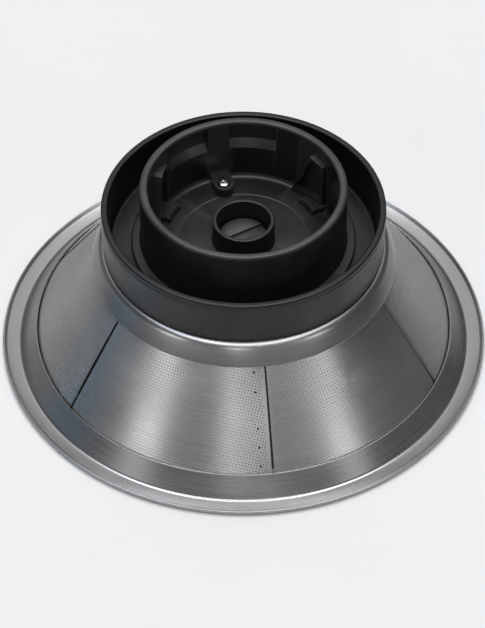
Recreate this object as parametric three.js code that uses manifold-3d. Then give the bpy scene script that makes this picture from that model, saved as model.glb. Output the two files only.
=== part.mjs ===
// Filter basket of a centrifugal juicer, standing upside down on its rim with the drive hub up.
// Millimetres, +Z up. The origin is the centre of the circle that the rim rests on, and the
// basket spins about the Z axis. Outlines are [radius, height] points, anticlockwise. Their
// heights start near the underside of the rim's outer edge. The rim is dished, so its bend hangs
// lower than that, and addPiece lifts every piece until the bend stands on the table.

import * as THREE from 'three';
import { mergeVertices } from 'three/addons/utils/BufferGeometryUtils.js';
import Module from 'manifold-3d';

const wasm = await Module();
wasm.setup();

const DEG = Math.PI / 180;
const FACETS = 48;                 // flat faces round a large turned piece
const SMALL_FACETS = 24;           // and round a small one
const CLEARANCE = 0.3;             // between pieces that touch on the real basket

// Rim
const RIM_RADIUS = 95;
const RIM_SHEET = 0.6;
const BEND = [88.1, -0.6];         // where the dished flange turns up into the band
const BEND_DROP = RIM_SHEET - BEND[1];
const REST_HALF_WIDTH = 0.7;       // of the flat ring under the bend
const FLANGE_EDGE = [93.4, 0.5];   // the flange rises outward to here, where its lip turns up
const LIP_CREST = [94.7, 1.2];
const LIP_SIDE = [0.3, 0.8];       // heights of the lip's upright outer edge
const HEM_RADIUS = 92;             // the lip's sheet is folded back under the flange to here
const BAND_EDGE = [81.9, 7.2];

// Mesh cone, given by its outer face
const MESH_WALL = 0.6;             // measured along the radius
const MESH_FOOT = [84.4, 2.4];
const MESH_KNEE = [81, 6.4];
const MESH_TOP = [54.25, 46];
const MESH_SLOPE = (MESH_TOP[0] - MESH_KNEE[0]) / (MESH_TOP[1] - MESH_KNEE[1]);
const SEAMS = [-145, -82.4, -24.7, 35, 96, 155];   // degrees round the axis
const LAP = 5;                     // degrees by which each panel runs on under the one before
const LAP_HEIGHTS = [10.2, 42.2];
const SEAM_GAP = 0.35;             // degrees
const JOGGLE = 1;                  // degrees over which a panel steps in to its tongue

// Base pan and collar, outside the mesh's narrow end
const PAN_SHEET = 0.8;
const PAN_TOP = 48.7;
const SHOULDER_TOP = 50.1;         // the pan's rounded shoulder stands up round the hub's foot
const COLLAR_EDGE = [58.95, 41.3];
const COLLAR_WALL = 0.9;           // measured along the radius
const SHOULDER = [[56.4, 48], [55.7, 49.1], [54.6, 49.8], [53.3, SHOULDER_TOP], [52.2, SHOULDER_TOP], [51.2, PAN_TOP]];
const SHOULDER_INSIDE = [[51.4, PAN_TOP - PAN_SHEET], [52.4, 49.3], [53.3, 49.3], [54.9, 48.6], [55.5, 47.6]];

// Hub: outer skirt and the drive coupling inside it
const HUB_BOTTOM = PAN_TOP + CLEARANCE;
const SKIRT_RADIUS = 54;
const SKIRT_LIP_RADIUS = 54.2;
const SKIRT_WALL = 2.6;
const SKIRT_TOP = 68.7;
const SKIRT_BOTTOM = SHOULDER_TOP + CLEARANCE;
const SKIRT_FOOT = [[50.9, HUB_BOTTOM], [51.9, SKIRT_BOTTOM]];
const TROUGH_FLOOR = 50.6;
const LIP_ROUND = 0.8;
const RING_OUTER = 39.3;
const RING_INNER = 36;
const RING_TOP = 78.9;
const RING_ROUND = 0.5;
const CAVITY_FLOOR = 51.3;
const CAVITY_FILLET = 2.4;
const FLANGE_RADIUS = 43;          // the coupling's flange clamps the skirt's floor
const FLANGE_TOP = 52.4;

// Features of the drive coupling, repeated three times round the axis
const THIRDS = [0, 120, 240];
const POCKET_PAIR_CENTRE = 105.7;  // degrees; the screw bosses share it
const POCKET_FROM = 6.7;           // degrees each side of the pair's centre
const POCKET_TO = 36.2;
const POCKET_SECTION = [[34.2, 63.1], [38.2, 69.1], [38.2, 75.6], [34.2, 78.9]];
const DOG_CENTRE = 46;             // degrees
const DOG_FACE_RADIUS = 32.6;
const WALL_MIDDLE = 37;            // features on the ring's wall run this far into it
const DOG_OUTLINE = [[-10.6, 50.8], [6.2, 50.8], [0.8, 62.6], [-2.6, 73.8], [-4.2, 74.6], [-10.6, 73]];
const DOG_WALL = 1.1;
const PAD_FROM = -20;              // degrees from the dog's centre
const PAD_TO = -3;
const PAD_INNER_RADIUS = 29.3;
const PAD_TOP = 53.6;
const BOSS_CENTRE_RADIUS = 28;
const BOSS_HALF_WIDTH = 3.85;
const BOSS_TOP = 55;
const KEY_SIZE = [3, 2.7, 0.4];    // small raised square on each boss
const KEY_RADIUS = 33;

// Screws through the stack, with blind nuts on the grater's side
const SCREW_RADIUS_AT = 28.4;      // distance of each screw from the axis
const SCREW_RADIUS = 1.5;
const SCREW_HOLE = 1.9;
const SCREW_HEAD_RADIUS = 2.2;
const SCREW_HEAD_TOP = 55.7;
const SCREW_HEAD_BOTTOM = 54.5;
const COUNTERBORE_RADIUS = 2.6;
const COUNTERBORE_FLOOR = SCREW_HEAD_BOTTOM - CLEARANCE;
const SCREW_END = 44.8;
const NUT_RADIUS = 3.3;
const NUT_BOTTOM = 43.5;

// Grater disc, teeth down into the bowl
const GRATER_TOP = PAN_TOP - PAN_SHEET - CLEARANCE;
const GRATER_BOTTOM = GRATER_TOP - PAN_SHEET;
const TOOTH_HEIGHT = 1.5;
const TOOTH_RADIUS = 0.9;
const TOOTH_ROWS = [[18, 10], [23, 12], [34, 18], [40, 22], [46, 26]];   // [radius, teeth]

// Centre cup, quarter-turn lock and cone
const CUP_OUTER = 11.9;
const CUP_INNER = 10.2;
const CUP_TOP = 61.2;
const CUP_FLOOR = 50.2;
const CENTRE_HOLE = 6.4;           // in the pan and the grater, filled by the seal
const STEM_RADIUS = 3.2;
const STEM_HOLE = 4.3;
const STEM_END = 36.5;
const LOCK_HEAD_RADIUS = 9.4;
const LOCK_HEAD_TOP = 53.4;
const LOCK_HEAD_BOTTOM = 51.5;
const LOCK_ANGLE = 30.6;           // degrees from +X to the slot, when locked
const SLOT_WIDTH = 4;
const SLOT_DEPTH = 1.2;
const LUG_REACH = 5.2;
const LUG_WIDTH = 3;
const LUG_TOP = 39.2;
const LUG_BOTTOM = 37.4;
const CONE_RADIUS = 14;
const CONE_TOP = GRATER_BOTTOM - CLEARANCE;
const CONE_TIP = 30;
const CONE_BORE = 5.6;
const CONE_BORE_END = 35.5;
const LEDGE_BOTTOM = LUG_TOP + CLEARANCE;
const LEDGE_TOP = 41.5;
const LEDGE_INNER = STEM_RADIUS + CLEARANCE + 0.2;
const LEDGE_SPAN = 80;             // degrees that each of the two ledges covers

const LOOKS = {
  spunSteel: { color: 0x8d8d8f, roughness: 0.32, metalness: 1 },
  meshSteel: { color: 0x9b9b9d, roughness: 0.4, metalness: 1 },
  hubPlastic: { color: 0x2b2a2c, roughness: 0.42, metalness: 0 },
  couplingPlastic: { color: 0x1f1e20, roughness: 0.5, metalness: 0 },
  lockPlastic: { color: 0x333236, roughness: 0.5, metalness: 0 },
  screwSteel: { color: 0xc4c4c6, roughness: 0.22, metalness: 1 },
  sealRubber: { color: 0x5c6064, roughness: 0.8, metalness: 0 },
};

// ---- Making and joining solids ----

function turned(outline, facets = FACETS) {
  const startsOnAxis = outline[0][0] === 0;
  const loop = startsOnAxis ? outline : [...outline, outline[0]];
  const points = loop.map(([radius, height]) => new THREE.Vector2(radius, height));
  return new THREE.LatheGeometry(points, facets).rotateX(Math.PI / 2);
}

function rod(radius, bottom, top, facets = SMALL_FACETS) {
  const cylinder = new THREE.CylinderGeometry(radius, radius, top - bottom, facets);
  return cylinder.rotateX(Math.PI / 2).translate(0, 0, (bottom + top) / 2);
}

function slab(lengthX, lengthY, bottom, top) {
  return new THREE.BoxGeometry(lengthX, lengthY, top - bottom).translate(0, 0, (bottom + top) / 2);
}

function wedge(from, to) {
  const reach = 2 * RIM_RADIUS;
  const shape = new THREE.Shape();
  shape.moveTo(0, 0);
  shape.lineTo(reach * Math.cos(from * DEG), reach * Math.sin(from * DEG));
  shape.absarc(0, 0, reach, from * DEG, to * DEG);
  return new THREE.ExtrudeGeometry(shape, { depth: reach, bevelEnabled: false, curveSegments: 8 });
}

// A manifold-3d solid from a three.js geometry, with shared vertices merged.
function solid(geometry) {
  geometry.deleteAttribute('normal');
  geometry.deleteAttribute('uv');
  const merged = mergeVertices(geometry, 1e-4);
  const corners = merged.index.array;
  const faces = [];
  for (let i = 0; i < corners.length; i += 3) {
    const [a, b, c] = corners.slice(i, i + 3);
    if (a !== b && b !== c && c !== a) faces.push(a, b, c);
  }
  return new wasm.Manifold(new wasm.Mesh({
    numProp: 3,
    vertProperties: new Float32Array(merged.attributes.position.array),
    triVerts: new Uint32Array(faces),
  }));
}

function geometryOf(body) {
  const { vertProperties, triVerts } = body.getMesh();
  const geometry = new THREE.BufferGeometry();
  geometry.setAttribute('position', new THREE.BufferAttribute(vertProperties, 3));
  geometry.setIndex(new THREE.BufferAttribute(triVerts, 1));
  geometry.computeVertexNormals();
  return geometry;
}

function cutSector(geometry, from, to) {
  return solid(geometry).intersect(solid(wedge(from, to)));
}

// Moves a geometry that is made on the +X side out to a radius and round the axis.
function roundAxis(geometry, radius, degrees) {
  return geometry.translate(radius, 0, 0).rotateZ(degrees * DEG);
}

// A ring whose outer face follows the given points, bottom to top, with a wall of even width.
function sleeve(outerFace, wall) {
  const innerFace = outerFace.map(([radius, height]) => [radius - wall, height]).reverse();
  return [...outerFace, ...innerFace];
}

function filletPoints(centre, radius, from, to, steps) {
  const points = [];
  for (let i = 0; i <= steps; i += 1) {
    const angle = (from + ((to - from) * i) / steps) * DEG;
    points.push([centre[0] + radius * Math.cos(angle), centre[1] + radius * Math.sin(angle)]);
  }
  return points;
}

function meshRadius(height) {
  return MESH_KNEE[0] + MESH_SLOPE * (height - MESH_KNEE[1]);
}

function screwHoles(bottom, top, radius) {
  return THIRDS.map((turn) => solid(roundAxis(rod(radius, bottom, top), SCREW_RADIUS_AT,
    POCKET_PAIR_CENTRE + turn)));
}

// ---- Rim and mesh ----

// Height of the dished flange's upper face.
function flangeHeight(radius) {
  return BEND[1] + ((radius - BEND[0]) * (FLANGE_EDGE[1] - BEND[1])) / (FLANGE_EDGE[0] - BEND[0]);
}

function rimRing() {
  const foldedSheets = 2 * RIM_SHEET;
  return turned([
    [BEND[0] - REST_HALF_WIDTH, -BEND_DROP],
    [BEND[0] + REST_HALF_WIDTH, -BEND_DROP],
    [HEM_RADIUS, flangeHeight(HEM_RADIUS) - RIM_SHEET],
    [HEM_RADIUS, flangeHeight(HEM_RADIUS) - foldedSheets],
    [FLANGE_EDGE[0] + 0.3, FLANGE_EDGE[1] - foldedSheets],
    ...LIP_SIDE.map((height) => [RIM_RADIUS, height]),
    LIP_CREST,
    [LIP_CREST[0] - 0.5, LIP_CREST[1] - 0.1],
    FLANGE_EDGE,
    [BEND[0] + 0.6, flangeHeight(BEND[0] + 0.6)],
    [BEND[0] - 0.4, BEND[1] + 0.4],
    BAND_EDGE,
    [BAND_EDGE[0] - 0.75, BAND_EDGE[1] - 0.3],
    [BAND_EDGE[0] - 0.1, BAND_EDGE[1] - 1.1],
    [BEND[0] - 1, BEND[1] + 0.2],
  ]);
}

function rimInnerRing() {
  const inset = MESH_WALL + 0.5;
  return turned(sleeve([
    [MESH_FOOT[0] + 1 - inset, MESH_FOOT[1] - 1.2],
    [MESH_KNEE[0] - inset, MESH_KNEE[1]],
    [meshRadius(9.5) - MESH_WALL - 0.4, 9.5],
  ], 0.7));
}

// Each panel starts with a tongue that lies under the end of the panel before it.
function meshPanel(index) {
  const start = SEAMS[index];
  const end = index + 1 < SEAMS.length ? SEAMS[index + 1] : SEAMS[0] + 360;
  const face = cutSector(turned(sleeve([MESH_FOOT, MESH_KNEE, MESH_TOP], MESH_WALL)), start + SEAM_GAP, end);
  const tongueInset = MESH_WALL + 0.35;
  const tongueFace = LAP_HEIGHTS.map((height) => [meshRadius(height) - tongueInset, height]);
  const tongue = cutSector(turned(sleeve(tongueFace, MESH_WALL)), start - LAP, start + SEAM_GAP + JOGGLE);
  const stepFace = LAP_HEIGHTS.map((height) => [meshRadius(height), height]);
  const step = cutSector(turned(sleeve(stepFace, tongueInset + MESH_WALL)),
    start + SEAM_GAP, start + SEAM_GAP + JOGGLE);
  return geometryOf(face.add(step).add(tongue));
}

// ---- Base pan and grater ----

function basePan() {
  const underside = PAN_TOP - PAN_SHEET;
  const shell = turned([
    COLLAR_EDGE,
    ...SHOULDER,
    [CENTRE_HOLE, PAN_TOP],
    [CENTRE_HOLE, underside],
    ...SHOULDER_INSIDE,
    [COLLAR_EDGE[0] - COLLAR_WALL, COLLAR_EDGE[1]],
  ]);
  let pan = solid(shell);
  for (const hole of screwHoles(underside - 1, PAN_TOP + 1, SCREW_HOLE)) pan = pan.subtract(hole);
  return geometryOf(pan);
}

function tooth(radius, degrees) {
  const height = TOOTH_HEIGHT + 0.2;
  const pyramid = new THREE.ConeGeometry(TOOTH_RADIUS, height, 3).rotateX(-Math.PI / 2);
  return roundAxis(pyramid.translate(0, 0, GRATER_BOTTOM + 0.2 - height / 2), radius, degrees);
}

// A flat disc with its edge turned down inside the mesh, and rows of cutting teeth.
function graterDisc() {
  const edgeBottom = 42.9;
  const edgeRadius = meshRadius(edgeBottom) - MESH_WALL - 0.4;
  let disc = solid(turned([
    [CENTRE_HOLE, GRATER_BOTTOM],
    [51.4, GRATER_BOTTOM],
    [edgeRadius - 0.9, edgeBottom],
    [edgeRadius, edgeBottom],
    [meshRadius(MESH_TOP[1]) - MESH_WALL - 0.45, MESH_TOP[1]],
    [51.8, GRATER_TOP],
    [CENTRE_HOLE, GRATER_TOP],
  ]));
  for (const hole of screwHoles(GRATER_BOTTOM - 1, GRATER_TOP + 1, SCREW_HOLE)) disc = disc.subtract(hole);
  TOOTH_ROWS.forEach(([radius, count], row) => {
    for (let i = 0; i < count; i += 1) {
      const degrees = ((i + row / TOOTH_ROWS.length) * 360) / count;
      disc = disc.add(solid(tooth(radius, degrees)));
    }
  });
  return geometryOf(disc);
}

// ---- Hub ----

function hubSkirt() {
  const lipInner = SKIRT_LIP_RADIUS - SKIRT_WALL;
  const floorFillet = filletPoints([lipInner - 0.2 - 1.6, TROUGH_FLOOR + 1.6], 1.6, 0, -90, 3);
  return turned([
    [RING_OUTER + CLEARANCE, HUB_BOTTOM],
    ...SKIRT_FOOT,
    [SKIRT_RADIUS, SKIRT_BOTTOM],
    [SKIRT_LIP_RADIUS, SKIRT_TOP - LIP_ROUND],
    [SKIRT_LIP_RADIUS - 0.3, SKIRT_TOP - 0.2],
    [SKIRT_LIP_RADIUS - LIP_ROUND, SKIRT_TOP],
    [lipInner + LIP_ROUND, SKIRT_TOP],
    [lipInner, SKIRT_TOP - LIP_ROUND],
    ...floorFillet,
    [RING_OUTER + CLEARANCE, TROUGH_FLOOR],
  ]);
}

function couplingBody() {
  const flangeBottom = TROUGH_FLOOR + CLEARANCE;
  const filletCentre = [RING_INNER - CAVITY_FILLET, CAVITY_FLOOR + CAVITY_FILLET];
  return solid(turned([
    [STEM_HOLE, HUB_BOTTOM],
    [RING_OUTER, HUB_BOTTOM],
    [RING_OUTER, flangeBottom],
    [FLANGE_RADIUS, flangeBottom],
    [FLANGE_RADIUS, FLANGE_TOP - 0.4],
    [FLANGE_RADIUS - 0.4, FLANGE_TOP],
    [RING_OUTER + 0.5, FLANGE_TOP],
    [RING_OUTER, FLANGE_TOP + 0.5],
    [RING_OUTER, RING_TOP - RING_ROUND],
    [RING_OUTER - RING_ROUND, RING_TOP],
    [RING_INNER + RING_ROUND, RING_TOP],
    [RING_INNER, RING_TOP - RING_ROUND],
    ...filletPoints(filletCentre, CAVITY_FILLET, 0, -90, 3),
    [CUP_OUTER, CAVITY_FLOOR],
    [CUP_OUTER, CUP_TOP - RING_ROUND],
    [CUP_OUTER - RING_ROUND, CUP_TOP],
    [CUP_INNER + RING_ROUND, CUP_TOP],
    [CUP_INNER, CUP_TOP - RING_ROUND],
    [CUP_INNER, CUP_FLOOR],
    [STEM_HOLE, CUP_FLOOR],
  ]));
}

// A recess in the ring's inner wall, below its top, with a ledge that slopes in and down.
function pocket(centre, side) {
  const from = centre + (side < 0 ? -POCKET_TO : POCKET_FROM);
  return cutSector(turned(POCKET_SECTION), from, from + POCKET_TO - POCKET_FROM);
}

function outlineShape(points) {
  return new THREE.Shape(points.map(([across, up]) => new THREE.Vector2(across, up)));
}

// The dog's outline shrunk towards its middle, which leaves a wall round a hollow.
function dogHollow() {
  const across = (DOG_OUTLINE[0][0] + DOG_OUTLINE[1][0]) / 2 - 1.6;
  const up = 60;
  const shrink = 1 - (2 * DOG_WALL) / 12;
  return DOG_OUTLINE.map(([x, y]) => [across + (x - across) * shrink, up + (y - up) * shrink]);
}

// Stands an outline of [across, up] points on the ring's wall, as deep as from one radius to the other.
function standOnWall(points, innerRadius, outerRadius, degrees) {
  const depth = outerRadius - innerRadius;
  const plate = new THREE.ExtrudeGeometry(outlineShape(points), { depth, bevelEnabled: false });
  const across = new THREE.Vector3(0, 1, 0);
  const up = new THREE.Vector3(0, 0, 1);
  const outward = new THREE.Vector3(1, 0, 0);
  plate.applyMatrix4(new THREE.Matrix4().makeBasis(across, up, outward));
  return solid(roundAxis(plate, innerRadius, degrees));
}

function driveDog(centre) {
  const outside = standOnWall(DOG_OUTLINE, DOG_FACE_RADIUS, WALL_MIDDLE, centre);
  const hollow = standOnWall(dogHollow(), DOG_FACE_RADIUS - 1, RING_INNER - 0.4, centre);
  return outside.subtract(hollow);
}

function floorPad(centre) {
  const outline = [
    [PAD_INNER_RADIUS, CAVITY_FLOOR - 0.5],
    [WALL_MIDDLE, CAVITY_FLOOR - 0.5],
    [WALL_MIDDLE, PAD_TOP],
    [PAD_INNER_RADIUS + 0.8, PAD_TOP],
    [PAD_INNER_RADIUS, PAD_TOP - 0.8],
  ];
  return cutSector(turned(outline), centre + PAD_FROM, centre + PAD_TO);
}

function screwBoss(centre) {
  const shape = new THREE.Shape();
  shape.moveTo(WALL_MIDDLE, -BOSS_HALF_WIDTH);
  shape.lineTo(WALL_MIDDLE, BOSS_HALF_WIDTH);
  shape.lineTo(BOSS_CENTRE_RADIUS, BOSS_HALF_WIDTH);
  shape.absarc(BOSS_CENTRE_RADIUS, 0, BOSS_HALF_WIDTH, 90 * DEG, 270 * DEG);
  const bottom = CAVITY_FLOOR - 0.5;
  const body = new THREE.ExtrudeGeometry(shape, { depth: BOSS_TOP - bottom, bevelEnabled: false, curveSegments: 8 });
  const key = slab(KEY_SIZE[0], KEY_SIZE[1], BOSS_TOP - 0.4, BOSS_TOP + KEY_SIZE[2]);
  const raised = solid(roundAxis(key, KEY_RADIUS, centre));
  return solid(roundAxis(body.translate(0, 0, bottom), 0, centre)).add(raised);
}

function driveCoupling() {
  let coupling = couplingBody();
  for (const turn of THIRDS) {
    coupling = coupling.subtract(pocket(POCKET_PAIR_CENTRE + turn, -1));
    coupling = coupling.subtract(pocket(POCKET_PAIR_CENTRE + turn, 1));
    coupling = coupling.add(driveDog(DOG_CENTRE + turn));
    coupling = coupling.add(floorPad(DOG_CENTRE + turn));
    coupling = coupling.add(screwBoss(POCKET_PAIR_CENTRE + turn));
  }
  for (const hole of screwHoles(HUB_BOTTOM - 1, BOSS_TOP + 1, SCREW_HOLE)) coupling = coupling.subtract(hole);
  for (const bore of screwHoles(COUNTERBORE_FLOOR, BOSS_TOP + 1, COUNTERBORE_RADIUS)) {
    coupling = coupling.subtract(bore);
  }
  return geometryOf(coupling);
}

// ---- Fasteners ----

function hubScrew(degrees) {
  const slotDepth = 0.6;
  const head = solid(rod(SCREW_HEAD_RADIUS, SCREW_HEAD_BOTTOM, SCREW_HEAD_TOP));
  const shank = solid(rod(SCREW_RADIUS, SCREW_END, SCREW_HEAD_BOTTOM + 0.2, 12));
  const slot = solid(slab(2.8, 0.7, SCREW_HEAD_TOP - slotDepth, SCREW_HEAD_TOP + 1));
  const crossSlot = solid(slab(0.7, 2.8, SCREW_HEAD_TOP - slotDepth, SCREW_HEAD_TOP + 1));
  const screw = head.add(shank).subtract(slot).subtract(crossSlot);
  return roundAxis(geometryOf(screw), SCREW_RADIUS_AT, degrees);
}

function blindNut(degrees) {
  const nut = solid(rod(NUT_RADIUS, NUT_BOTTOM, GRATER_BOTTOM - CLEARANCE, 6));
  const bore = solid(rod(SCREW_HOLE, SCREW_END - CLEARANCE, GRATER_BOTTOM, 12));
  return roundAxis(geometryOf(nut.subtract(bore)), SCREW_RADIUS_AT, degrees);
}

// ---- Centre lock ----

function centreLock() {
  const head = solid(rod(LOCK_HEAD_RADIUS, LOCK_HEAD_BOTTOM, LOCK_HEAD_TOP, FACETS));
  const slot = solid(slab(2 * LOCK_HEAD_RADIUS + 2, SLOT_WIDTH, LOCK_HEAD_TOP - SLOT_DEPTH, LOCK_HEAD_TOP + 1));
  const stem = solid(rod(STEM_RADIUS, STEM_END, LOCK_HEAD_BOTTOM + 0.2));
  const lugs = solid(slab(2 * LUG_REACH, LUG_WIDTH, LUG_BOTTOM, LUG_TOP));
  return geometryOf(head.subtract(slot).add(stem).add(lugs)).rotateZ(LOCK_ANGLE * DEG);
}

function lockWasher() {
  const bottom = CUP_FLOOR + CLEARANCE;
  return turned(sleeve([[8.4, bottom], [8.4, LOCK_HEAD_BOTTOM - CLEARANCE]], 3.6), SMALL_FACETS);
}

function centreSeal() {
  const inner = STEM_RADIUS + CLEARANCE;
  const outer = CENTRE_HOLE - CLEARANCE - 0.1;
  const bottom = CONE_TOP + CLEARANCE + 0.1;
  const top = HUB_BOTTOM - CLEARANCE;
  const bevel = 0.5;
  return turned([
    [inner + bevel, bottom],
    [outer - bevel, bottom],
    [outer, bottom + bevel],
    [outer, top - bevel],
    [outer - bevel, top],
    [inner + bevel, top],
    [inner, top - bevel],
    [inner, bottom + bevel],
  ], SMALL_FACETS);
}

// The cone's bore holds two ledges. The lock's lugs pass between them and turn in under them.
function centreCone() {
  let cone = solid(turned([
    [0, CONE_TIP],
    [2.6, CONE_TIP + 0.4],
    [5.2, CONE_TIP + 2],
    [7.4, CONE_TIP + 5],
    [CONE_RADIUS - 0.6, CONE_TOP - 2],
    [CONE_RADIUS, CONE_TOP - 1],
    [CONE_RADIUS, CONE_TOP],
    [CONE_BORE, CONE_TOP],
    [CONE_BORE, CONE_BORE_END],
    [0, CONE_BORE_END],
  ], SMALL_FACETS));
  const ledge = [
    [LEDGE_INNER, LEDGE_BOTTOM],
    [CONE_BORE + 0.5, LEDGE_BOTTOM],
    [CONE_BORE + 0.5, LEDGE_TOP],
    [LEDGE_INNER, LEDGE_TOP],
  ];
  for (const turn of [0, 180]) {
    const middle = LOCK_ANGLE + turn;
    const part = cutSector(turned(ledge, SMALL_FACETS), middle - LEDGE_SPAN / 2, middle + LEDGE_SPAN / 2);
    cone = cone.add(part);
  }
  return geometryOf(cone);
}

// ---- The basket ----

const basket = new THREE.Group();

function addPiece(name, geometry, look) {
  const lifted = geometry.translate(0, 0, BEND_DROP);
  const piece = new THREE.Mesh(lifted, new THREE.MeshStandardMaterial(LOOKS[look]));
  piece.name = name;
  basket.add(piece);
}

addPiece('rim_ring', rimRing(), 'spunSteel');
addPiece('rim_inner_ring', rimInnerRing(), 'spunSteel');
SEAMS.forEach((seam, index) => addPiece(`mesh_panel_${index + 1}`, meshPanel(index), 'meshSteel'));
addPiece('base_pan', basePan(), 'spunSteel');
addPiece('grater_disc', graterDisc(), 'spunSteel');
addPiece('hub_skirt', hubSkirt(), 'hubPlastic');
addPiece('drive_coupling', driveCoupling(), 'couplingPlastic');
THIRDS.forEach((turn, index) => {
  addPiece(`hub_screw_${index + 1}`, hubScrew(POCKET_PAIR_CENTRE + turn), 'screwSteel');
  addPiece(`blind_nut_${index + 1}`, blindNut(POCKET_PAIR_CENTRE + turn), 'screwSteel');
});
addPiece('centre_lock', centreLock(), 'lockPlastic');
addPiece('lock_washer', lockWasher(), 'screwSteel');
addPiece('centre_seal', centreSeal(), 'sealRubber');
addPiece('centre_cone', centreCone(), 'lockPlastic');

export default basket;
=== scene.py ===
# Looks of a juicer's filter basket, standing on its rim with the drive hub up.
import math

import bmesh
import bpy
import numpy as np
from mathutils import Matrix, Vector


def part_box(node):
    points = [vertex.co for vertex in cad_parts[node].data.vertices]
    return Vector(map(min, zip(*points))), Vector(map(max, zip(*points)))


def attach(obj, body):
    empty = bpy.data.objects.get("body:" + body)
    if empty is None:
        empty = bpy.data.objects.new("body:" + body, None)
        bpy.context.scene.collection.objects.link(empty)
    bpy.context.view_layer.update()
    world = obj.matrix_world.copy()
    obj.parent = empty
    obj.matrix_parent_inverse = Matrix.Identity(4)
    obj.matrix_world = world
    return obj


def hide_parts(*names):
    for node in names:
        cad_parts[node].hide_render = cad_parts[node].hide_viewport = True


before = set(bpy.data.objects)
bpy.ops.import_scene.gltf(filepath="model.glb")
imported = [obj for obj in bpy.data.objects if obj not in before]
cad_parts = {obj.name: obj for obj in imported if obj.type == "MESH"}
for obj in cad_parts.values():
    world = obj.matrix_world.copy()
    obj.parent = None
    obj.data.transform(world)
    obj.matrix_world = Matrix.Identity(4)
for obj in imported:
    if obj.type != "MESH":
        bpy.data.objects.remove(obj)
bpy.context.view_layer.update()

# Lengths below are in millimetres, and MM turns them into Blender's metres. Angles are degrees.
# As in the CAD, heights start near the underside of the rim's outer edge. The dished rim's bend
# hangs BEND_DROP lower and stands on the floor.
MM = 0.001
BEND_DROP = 1.2
ROUND_STEPS = 240            # steps round a large turned piece
SMALL_ROUND_STEPS = 96
ARC_STEP = 15                # degrees between the points of a rounded corner
SMOOTH_ANGLE = 32
THIRDS = (0, 120, 240)


def top(node):
    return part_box(node)[1].z / MM - BEND_DROP


def bottom(node):
    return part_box(node)[0].z / MM - BEND_DROP


def reach(node):
    """Outer radius of a node that is round about the Z axis."""
    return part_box(node)[1].x / MM


# Rim
RIM_RADIUS = reach("rim_ring")
RIM_SHEET = 0.6
BEND = (88.1, -0.6)
FLANGE_EDGE = (93.4, 0.5)
FLANGE_SLOPE = (FLANGE_EDGE[1] - BEND[1]) / (FLANGE_EDGE[0] - BEND[0])
LIP_CREST = (94.45, 1.2)
LIP_SIDE = (0.3, 1.2)        # heights of the lip's outer edge
HEM_RADIUS = 92
BAND_EDGE = (81.9, top("rim_ring"))

# Mesh cone, given by its outer face
MESH_WALL = 0.6
MESH_FOOT = (84.4, 2.4)
MESH_KNEE = (81, 6.4)
MESH_TOP = (54.25, 46)
SEAMS = (-145, -82.4, -24.7, 35, 96, 155)
WELDED_SEAM = 1              # the seam whose lap shows spot welds and cut holes
WELD_HEIGHTS = (9, 15, 21.1, 32.7, 38.9)
WELD_RADIUS = 0.42
WELD_INSET = 4               # from the seam to the row of spots
SEAM_GAP = 0.95
LAP = 5
LAP_HEIGHTS = (10.2, 42.2)
VALLEY_HEIGHTS = (7.4, 42.2)
PITCH = 1.1
HOLE = 0.36
PLAIN_MARGIN = 1.1           # unpierced strip along a panel's side edges
EDGE_LIFT = 0.55             # how far a panel's free edge springs outward
EDGE_LIFT_SPAN = 8

# Base pan, collar and grater
COLLAR_RADIUS = reach("base_pan")
COLLAR_BOTTOM = bottom("base_pan")
SHOULDER_TOP = top("base_pan")
PAN_TOP = SHOULDER_TOP - 1.4
PAN_SHEET = 0.8
CENTRE_HOLE = 6.4
GRATER_TOP = top("grater_disc")
GRATER_BOTTOM = GRATER_TOP - PAN_SHEET

# Hub
HUB_BOTTOM = bottom("hub_skirt")
SKIRT_RADIUS = reach("hub_skirt")
SKIRT_TOP = top("hub_skirt")
SKIRT_BOTTOM = SHOULDER_TOP + 0.3
SKIRT_WALL = 2.6
TROUGH_FLOOR = 50.6
RING_OUTER = 39.3
RING_INNER = 36
RING_TOP = top("drive_coupling")
FLANGE_RADIUS = reach("drive_coupling")
FLANGE_TOP = 52.4
CAVITY_FLOOR = 51.3
WALL_MIDDLE = 37
PAIR_CENTRE = 105.7          # azimuth midway between a pair of pockets, over a screw boss
POCKET_NEAR = 6.7            # degrees from there to a pocket's two ends
POCKET_FAR = 36.2
DOG_CENTRE = 46
DOG_FACE_RADIUS = 32.6
BOSS_TOP = 55
BOSS_CENTRE_RADIUS = 28
BOSS_HALF_WIDTH = 3.85
KEY_AT = 33                  # radius of the small raised key behind each screw
KEY_SIZE = (3, 2.7)
SCREW_AT = 28.4
SCREW_HOLE = 1.9             # radius
SCREW_RECESS = 2.6
SCREW_HEAD_RADIUS = 2.2
SCREW_HEAD_TOP = top("hub_screw_1")
SCREW_HEAD_BOTTOM = 54.5

# Centre
CUP_OUTER = 11.9
CUP_INNER = 10.2
CUP_TOP = 61.2
CUP_FLOOR = 50.2
STEM_RADIUS = 3.2
LOCK_ANGLE = 30.6
LOCK_HEAD_RADIUS = 9.4
LOCK_HEAD_TOP = top("centre_lock")
LOCK_HEAD_BOTTOM = 51.5
SLOT_WIDTH = 4
SLOT_DEPTH = 1.2

# View: distance and height of the camera's eye, and what it looks at
CAMERA_ELEVATION = 45.46
CAMERA_DISTANCE = 1140
CAMERA_TARGET = 9.8
LENS = 166.0
SENSOR = 36.0
OFF_CENTRE = (-0.0016, 0.0008)


# ---- Outlines and meshes ----

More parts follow.
